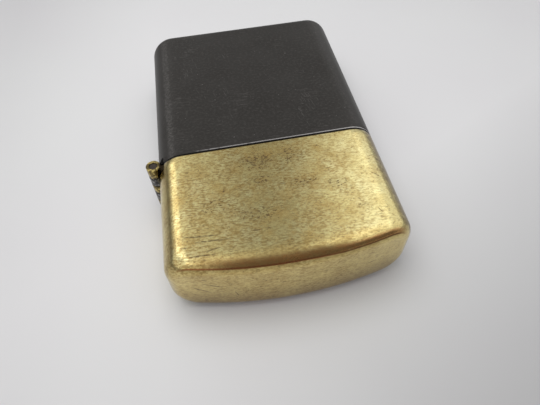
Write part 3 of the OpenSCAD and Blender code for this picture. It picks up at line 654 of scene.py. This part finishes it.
# What the finishes read: way over the rounded edge, way round to the narrow sides, millimetres off the rim
SHADE_LAYERS = ("edge", "side", "rim")
# Edges sharper than this, in degrees, are rounded on the drawn cups and on the CAD pieces
SHARP_CUP, SHARP_CAD, BEVEL_SEGMENTS = 50, 35, 2
# CAD faces that meet at less than this, in degrees, become one
FLAT_ANGLE = 0.5


def spread(a, b, steps):
    """Even values from a towards b, without b."""
    return [blend(a, b, i / steps) for i in range(steps)]


def plan_columns(radius):
    """Anchor and outward angle of each column round the plan, counter-clockwise from the hinge side.

    radius is that of the wall's upright edges: it says where the hinge notch meets them."""
    ax, ay = BODY_W / 2 - SIDE_R, BODY_T / 2 - SIDE_R
    split = math.degrees(math.asin((NOTCH_HALF - ay) / radius))
    hinge_arc = spread(0, split, CORNER_STEPS) + spread(split, 90, CORNER_STEPS) + [90]
    plain_arc = spread(0, 90, 2 * CORNER_STEPS)
    sides = ((-ax, ay, -ax, -ay, 180, END_PIECES, hinge_arc[:-1]),
             (-ax, -ay, ax, -ay, 270, FACE_PIECES, plain_arc),
             (ax, -ay, ax, ay, 0, END_PIECES, plain_arc),
             (ax, ay, -ax, ay, 90, FACE_PIECES, [90 - a for a in hinge_arc[:0:-1]]))
    columns = []
    for x0, y0, x1, y1, turn, steps, arc in sides:
        columns += [(blend(x0, x1, t), blend(y0, y1, t), turn) for t in spread(0, 1, steps)]
        columns += [(x1, y1, turn + a) for a in arc]
    return columns


def notch_gaps(radius):
    """For each column, whether the wall between it and the next one is cut away at the hinge."""
    cut = []
    for ax, ay, turn in plan_columns(radius):
        a = math.radians(turn)
        hinge_side = ax < 0 and math.cos(a) < HINGE_FACING
        cut.append(hinge_side and abs(ay + radius * math.sin(a)) < NOTCH_HALF + HAIR)
    return [here and after for here, after in zip(cut, cut[1:] + cut[:1])]


def rounded_wall(mid, a, way, edge_r, heights):
    """One column's (place, edge, side): up the wall, then over its rounded edge, which turns to way.

    edge grows from 0 on the wall to 1 past the rounded edge, side from broad faces to narrow ones."""
    out = Vector((math.cos(a), math.sin(a), 0))
    side = math.atan2(abs(math.cos(a)), abs(math.sin(a))) / (math.pi / 2)
    foot = mid + out * edge_r
    line = [(Vector((foot.x, foot.y, z)), 0.0, side) for z in heights]
    for i in range(1, FILLET_STEPS + 1):
        u = i / FILLET_STEPS
        line.append((mid + out.slerp(way, u) * edge_r, u, side * (1 - u)))
    return line


def cap_plan(start):
    """Places in the plan from the rounded edge in to the middle line."""
    return [(blend(start.x, max(-SPINE, min(SPINE, start.x)), t), start.y * (1 - t)) for t in CAP_STEPS]


def lid_columns(inset):
    """Columns over the lid, from its rim to the middle of its crown."""
    edge_r, notch = LID_EDGE_R - inset, CASE_H + BARREL_ROOM
    columns = []
    for ax, ay, turn in plan_columns(SIDE_R - inset):
        a = math.radians(turn)
        mid = Vector((ax, ay, 0)) + Vector((math.cos(a), math.sin(a), 0)) * (SIDE_R - LID_EDGE_R)
        rise = math.sqrt((CROWN_R - LID_EDGE_R) ** 2 - mid.x ** 2)
        mid.z = TOTAL_H - CROWN_R + rise
        top = Vector((mid.x, 0, rise)).normalized()
        heights = [LID_RIM, notch] + [blend(notch, mid.z, t) for t in LID_WALL_STEPS]
        line = rounded_wall(mid, a, top, edge_r, heights)
        for x, y in cap_plan(mid + top * edge_r):
            z = TOTAL_H - CROWN_R + math.sqrt((CROWN_R - inset) ** 2 - x * x)
            line.append((Vector((x, y, z)), 1.0, 0.0))
        columns.append(line)
    return columns


def case_columns(inset):
    """Columns over the case, from its rim to the middle of its base."""
    outside = inset == 0
    edge_r, notch = BASE_EDGE_R - inset, CASE_H - BARREL_ROOM
    base_z = BASE_EDGE_R + (0 if outside else PANEL_DEPTH)
    down = Vector((0, 0, -1))
    columns = []
    for ax, ay, turn in plan_columns(SIDE_R - inset):
        a = math.radians(turn)
        out = Vector((math.cos(a), math.sin(a), 0))
        mid = Vector((ax, ay, base_z)) + out * (SIDE_R - BASE_EDGE_R)
        heights = [CASE_RIM, notch] + [blend(notch, mid.z, t) for t in CASE_WALL_STEPS]
        line = rounded_wall(mid, a, down, edge_r, heights)
        start = mid + down * edge_r
        for inward, depth in PANEL_PROFILE if outside else ():
            start = mid - out * inward + Vector((0, 0, PANEL_DEPTH * depth - BASE_EDGE_R))
            line.append((start, 1.0, 0.0))
        line += [(Vector((x, y, start.z)), 1.0, 0.0) for x, y in cap_plan(start)]
        columns.append(line)
    return columns


def drawn_cup(name, columns_of, rim_z, material):
    """A thin-walled cup from an outer and an inner skin, joined along its rim and the hinge notch."""
    work = bmesh.new()
    layers = work.verts.layers.float
    for key in SHADE_LAYERS:
        layers.new(key)
    edge_layer, side_layer, rim_layer = (layers[key] for key in SHADE_LAYERS)
    gaps = notch_gaps(SIDE_R)
    count = len(gaps)

    def skin(columns):
        grid = []
        for line in columns:
            grid.append([])
            for place, edge, side in line:
                vert = work.verts.new(row(*place))
                vert[edge_layer], vert[side_layer], vert[rim_layer] = edge, side, abs(place.z - rim_z)
                grid[-1].append(vert)
        for i, gap in enumerate(gaps):
            here, after = grid[i], grid[(i + 1) % count]
            for j in range(1 if gap else 0, len(here) - 1):
                work.faces.new((here[j], after[j], after[j + 1], here[j + 1]))
        return grid

    outer, inner = skin(columns_of(0.0)), skin(columns_of(WALL))
    for i, gap in enumerate(gaps):
        j, k = (1 if gap else 0), (i + 1) % count
        work.faces.new((outer[i][j], outer[k][j], inner[k][j], inner[i][j]))
        if gap != gaps[i - 1]:
            work.faces.new((outer[i][0], outer[i][1], inner[i][1], inner[i][0]))
    bmesh.ops.remove_doubles(work, verts=work.verts, dist=MERGE_GAP * MM)
    bmesh.ops.recalc_face_normals(work, faces=work.faces)
    return finished(name, work, material, RIM_ROUND, SHARP_CUP)


def worked_mesh(name, work):
    """A named mesh from one that was worked on."""
    mesh = bpy.data.meshes.new(name)
    work.to_mesh(mesh)
    work.free()
    return mesh


def coat(mesh, material):
    """Smooth shading and one material all over."""
    mesh.polygons.foreach_set("use_smooth", [True] * len(mesh.polygons))
    mesh.materials.clear()
    mesh.materials.append(material)


def finished(name, work, material, round_r, sharp):
    """A smooth object from a worked mesh, with its sharp edges rounded and its flats kept flat."""
    mesh = worked_mesh(name, work)
    coat(mesh, material)
    made = add_object(name, mesh)
    bevel = made.modifiers.new("rounded edges", "BEVEL")
    bevel.width, bevel.segments, bevel.limit_method = round_r * MM, BEVEL_SEGMENTS, "ANGLE"
    bevel.angle_limit = math.radians(sharp)
    made.modifiers.new("even shading", "WEIGHTED_NORMAL").keep_sharp = True
    return made


def place_on(body, node, piece):
    """Puts a piece on its body in place of a node of the CAD model."""
    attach(piece, body)
    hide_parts(node)


place_on("lid", "lid_shell", drawn_cup("lid_body", lid_columns, LID_RIM, aged_brass()))
place_on("case", "case_shell", drawn_cup("case_body", case_columns, CASE_RIM, gunmetal()))


# Wick, packing and felt

def in_metres(size):
    """A size from millimetres; a count, which is a whole number, stays as it is."""
    return size if isinstance(size, int) else size * MM


def new_geometry_tree(name, sizes):
    """A geometry tree from one path or set of points, with named sizes."""
    tree = bpy.data.node_groups.new(name, "GeometryNodeTree")
    tree.interface.new_socket("Guide", in_out="INPUT", socket_type="NodeSocketGeometry")
    for key, start in sizes.items():
        kind = "NodeSocketInt" if isinstance(start, int) else "NodeSocketFloat"
        made = tree.interface.new_socket(key, in_out="INPUT", socket_type=kind)
        made.default_value = in_metres(start)
    tree.interface.new_socket("Made", in_out="OUTPUT", socket_type="NodeSocketGeometry")
    g = Graph(tree)
    return g, g.node("NodeGroupInput").outputs, g.node("NodeGroupOutput").inputs


def end_tree(g, shape, material, out):
    smooth = g.node("GeometryNodeSetShadeSmooth", {"Geometry": shape}).outputs[0]
    real = g.node("GeometryNodeRealizeInstances", {"Geometry": smooth}).outputs[0]
    coated = g.node("GeometryNodeSetMaterial", {"Geometry": real, "Material": material}).outputs[0]
    g.link(coated, out["Made"])
    return g.tree


def wick_tree(material):
    """Cotton plies that twist round each other along the guide."""
    g, given, out = new_geometry_tree("wick plies", WICK_SIZES)
    guide = g.node("GeometryNodeMeshToCurve", {"Mesh": given["Guide"]}).outputs[0]
    guide = g.node("GeometryNodeResampleCurve", {"Curve": guide, "Count": WICK_POINTS}).outputs[0]
    copies = g.node("GeometryNodeDuplicateElements", {"Geometry": guide, "Amount": given["Plies"]},
                    domain="SPLINE").outputs
    start = g.math("DIVIDE", copies["Duplicate Index"], given["Plies"])
    length = g.node("GeometryNodeSplineParameter").outputs["Length"]
    turn = g.math("MULTIPLY", g.math("ADD", start, g.math("DIVIDE", length, given["Pitch"])), math.tau)
    across = g.node("GeometryNodeInputNormal").outputs[0]
    along = g.node("GeometryNodeInputTangent").outputs[0]
    out_way = g.node("ShaderNodeVectorRotate", {"Vector": across, "Axis": along, "Angle": turn},
                     rotation_type="AXIS_ANGLE").outputs[0]
    plies = g.node("GeometryNodeSetPosition", {"Geometry": copies["Geometry"],
                                               "Offset": g.scaled(out_way, given["Spread"])}).outputs[0]
    ring = g.node("GeometryNodeCurvePrimitiveCircle", {"Resolution": PLY_SIDES,
                                                       "Radius": given["Ply radius"]}).outputs[0]
    solid = g.node("GeometryNodeCurveToMesh", {"Curve": plies, "Profile Curve": ring,
                                               "Fill Caps": True}).outputs[0]
    place = g.scaled(g.node("GeometryNodeInputPosition").outputs[0], 1 / MM)
    fuzz = g.times(g.math("SUBTRACT", g.noise(place, 1.7, 2.0), 0.6), given["Fuzz"])
    loose = g.scaled(g.node("GeometryNodeInputNormal").outputs[0], fuzz)
    solid = g.node("GeometryNodeSetPosition", {"Geometry": solid, "Offset": loose}).outputs[0]
    return end_tree(g, solid, material, out)


def packing_tree(material):
    """A lump of loose cotton on each point of the guide, drawn in along creases."""
    g, given, out = new_geometry_tree("packing lumps", PACKING_SIZES)
    ball = g.node("GeometryNodeMeshIcoSphere", {"Radius": given["Radius"],
                                                "Subdivisions": LUMP_LEVELS}).outputs["Mesh"]
    lumps = g.node("GeometryNodeInstanceOnPoints", {"Points": given["Guide"],
                                                    "Instance": ball}).outputs[0]
    lumps = g.node("GeometryNodeRealizeInstances", {"Geometry": lumps}).outputs[0]
    place = g.scaled(g.node("GeometryNodeInputPosition").outputs[0], 1 / MM)
    folds = g.math("SUBTRACT", g.noise(place, 0.34, 3.0, 0.5, 0.8), 0.5)
    crease = g.ramp(g.math("ABSOLUTE", folds), 0.0, 0.10, 1.0, 0.0)
    fluff = g.noise(place, 2.2, 4.0, 0.7)
    depth = g.math("ADD", g.times(crease, given["Crease"]), g.times(fluff, given["Fluff"]))
    inward = g.scaled(g.node("GeometryNodeInputNormal").outputs[0], g.math("MULTIPLY", depth, -1.0))
    lumps = g.node("GeometryNodeSetPosition", {"Geometry": lumps, "Offset": inward}).outputs[0]
    return end_tree(g, lumps, material, out)


def settled(holder, name):
    """The plain mesh that an object's modifiers make, which takes the object's place."""
    mesh = bpy.data.meshes.new_from_object(holder.evaluated_get(bpy.context.evaluated_depsgraph_get()))
    mesh.name = name
    bpy.data.objects.remove(holder)
    return mesh


def grown(name, tree, points, joined_up, sizes):
    """A plain mesh piece that a geometry tree makes from its guide."""
    guide = bpy.data.meshes.new(name + "_guide")
    lines = [(i, i + 1) for i in range(len(points) - 1)] if joined_up else []
    guide.from_pydata([tuple(row(*p)) for p in points], lines, [])
    holder = add_object(name + "_guide", guide)
    modifier = holder.modifiers.new(name, "NODES")
    modifier.node_group = tree
    for item in tree.interface.items_tree:
        if item.in_out == "INPUT" and item.name in sizes:
            modifier[item.identifier] = in_metres(sizes[item.name])
    return add_object(name, settled(holder, name))


def ease(t):
    u = max(0.0, min(1.0, t))
    return u * u * (3 - 2 * u)


def wick_path():
    """The wick's middle line, from its tip down between the packing."""
    low_x = (BALL_LEFT + BALL_RIGHT) / 2
    wave = (BALL_RIGHT - BALL_LEFT) / 2 - BALL_R - WICK_R - SOFT_GAP
    tip, foot = CAN_TOP + WICK_H, ROOM_FOOT + SOFT_GAP
    points = []
    for i in range(WICK_RINGS + 1):
        z = blend(tip, foot, i / WICK_RINGS)
        below = DECK_Z - WICK_R - z
        share = ease(below / WICK_BEND)
        sway = wave * share * math.sin(below * math.pi / BALL_PITCH)
        points.append((blend(SCREEN_X, low_x, share) + sway, 0, z))
    return points


def packing_points():
    return [(x, 0, ROOM_FOOT + (i + 0.5) * BALL_PITCH)
            for x, rows in ((BALL_LEFT, BALL_ROWS), (BALL_RIGHT, BALL_ROWS - 1)) for i in range(rows)]


def merged(node):
    """A node's CAD mesh to work on, with its doubled corners merged."""
    work = bmesh.new()
    work.from_mesh(NODES[node].data)
    bmesh.ops.remove_doubles(work, verts=work.verts, dist=MERGE_GAP * MM)
    return work


def felt_slab(material):
    """The felt as cut: soft edges, a napped surface, and the hole for the flint screw."""
    holder = add_object("felt_rough", worked_mesh("felt_rough", merged("felt_pad")))
    remesh = holder.modifiers.new("even mesh", "REMESH")
    remesh.mode, remesh.voxel_size = "VOXEL", FELT_VOXEL * MM
    ease_off = holder.modifiers.new("soft edges", "SMOOTH")
    ease_off.factor, ease_off.iterations = FELT_EASE, FELT_ROUNDS
    mesh = settled(holder, "felt_slab")
    nap = [vert.normal * (noise.noise(vert.co * (NAP_SCALE / MM)) - NAP_LEVEL) * NAP_DEPTH * MM
           for vert in mesh.vertices]
    for vert, move in zip(mesh.vertices, nap):
        vert.co += move
    coat(mesh, material)
    return add_object("felt_slab", mesh)


wick = grown("wick_plies", wick_tree(wick_cotton()), wick_path(), True, WICK_SIZES)
place_on("insert", "wick", wick)
white_cotton = cotton("packing_cotton", (0.86, 0.85, 0.82, 1), (0.66, 0.64, 0.60, 1), 0.35)
packing = grown("packing_cotton", packing_tree(white_cotton), packing_points(), False, PACKING_SIZES)
place_on("insert", "packing_balls", packing)
felt = felt_slab(cotton("felt", (0.72, 0.69, 0.62, 1), (0.50, 0.47, 0.41, 1), 0.25))
place_on("insert", "felt_pad", felt)


# Metal pieces in their CAD shape, with their edges eased or as they are

def eased(node, body, material, round_r):
    """A node's CAD shape on its body, with its edges rounded."""
    work = merged(node)
    bmesh.ops.dissolve_limit(work, angle_limit=math.radians(FLAT_ANGLE), verts=work.verts,
                             edges=work.edges)
    place_on(body, node, finished(node + "_eased", work, material, round_r, SHARP_CAD))


def dress(material, *names):
    """One material on nodes that keep their CAD meshes."""
    for name in names:
        slots = NODES[name].data.materials
        slots.clear()
        slots.append(material)


STEEL_DARK = (0.20, 0.19, 0.18, 1)
LEAF_ROUND, PIN_ROUND, SHEET_ROUND, CAM_ROUND, TOOTH_ROUND = 0.12, 0.08, 0.06, 0.08, 0.05
eased("lid_hinge_leaf", "lid",
      worn_hinge("hinge_brass", (0.60, 0.47, 0.17, 1), (0.060, 0.043, 0.022, 1), 0.16), LEAF_ROUND)
eased("case_hinge_leaf", "case",
      worn_hinge("hinge_dark", (0.30, 0.29, 0.28, 1), (0.026, 0.024, 0.023, 1), 0.20), LEAF_ROUND)
eased("hinge_pin", "case",
      plain_metal("pin_steel", (0.075, 0.062, 0.052, 1), (0.03, 0.024, 0.020, 1), 0.40), PIN_ROUND)
SHEET_STEEL = insert_steel()
eased("insert_can", "insert", SHEET_STEEL, SHEET_ROUND)
eased("windscreen", "insert", SHEET_STEEL, SHEET_ROUND)
eased("cam_lever", "cam",
      plain_metal("cam_steel", (0.50, 0.50, 0.50, 1), STEEL_DARK, 0.32), CAM_ROUND)
dress(plain_metal("rivet_steel", (0.52, 0.52, 0.52, 1), STEEL_DARK, 0.28),
      "cam_rivet", "spring_rivet", "wheel_rivet")
dress(plain_metal("spring_steel", (0.36, 0.37, 0.39, 1), (0.10, 0.10, 0.11, 1), 0.25),
      "cam_spring", "flint_spring")
eased("flint_wheel", "wheel",
      plain_metal("wheel_steel", (0.24, 0.24, 0.24, 1), (0.06, 0.06, 0.06, 1), 0.38), TOOTH_ROUND)
dress(plain_metal("tube_brass", (0.68, 0.53, 0.22, 1), (0.22, 0.15, 0.06, 1), 0.28),
      "flint_tube", "flint_plunger", "flint_screw")
dress(plain_metal("flint_alloy", (0.16, 0.155, 0.15, 1), (0.05, 0.05, 0.05, 1), 0.6), "flint")

set_camera()
set_light()
lay_floor()
